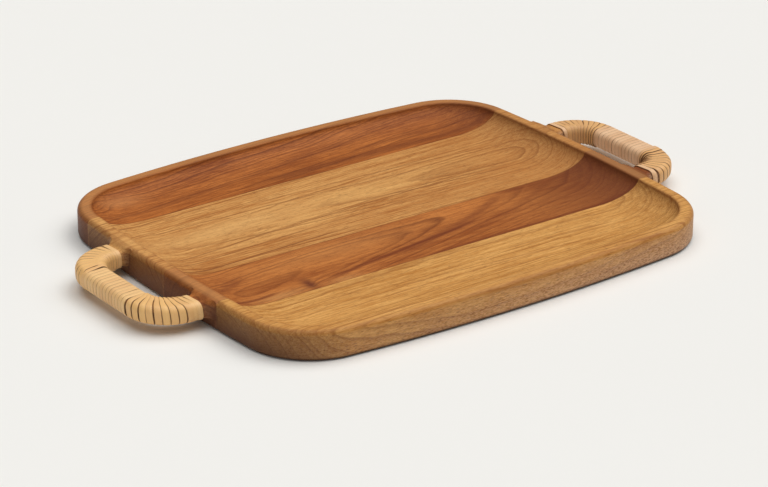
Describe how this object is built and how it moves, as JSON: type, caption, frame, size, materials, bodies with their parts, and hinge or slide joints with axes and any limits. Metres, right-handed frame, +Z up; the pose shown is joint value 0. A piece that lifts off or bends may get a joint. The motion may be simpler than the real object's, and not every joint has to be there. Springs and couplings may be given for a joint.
{
  "type": "wooden serving tray",
  "caption": "Dished rectangular tray of edge-glued wooden staves, with bowed sides and a cane-wound loop handle at each end.",
  "frame": {"origin": "centre of the flat underside", "axes": "+X along the tray from its left handle to its right handle, +Y from the front long side to the back long side, +Z up out of the dish"},
  "size_m": [0.4946, 0.3364, 0.0233],
  "materials": {
    "reddish_wood": "oiled reddish-brown hardwood with dark streaks, satin",
    "golden_wood": "oiled golden-brown hardwood, satin",
    "cane": "pale natural cane strip, matt to satin",
    "brad": "plain brass"
  },
  "bodies": {
    "root": {"back_stave": "reddish_wood", "wide_stave": "golden_wood", "middle_stave": "reddish_wood", "front_stave": "golden_wood", "left_cane_wrap": "cane", "right_cane_wrap": "cane", "cane_brads": "brad"}
  },
  "joints": []
}
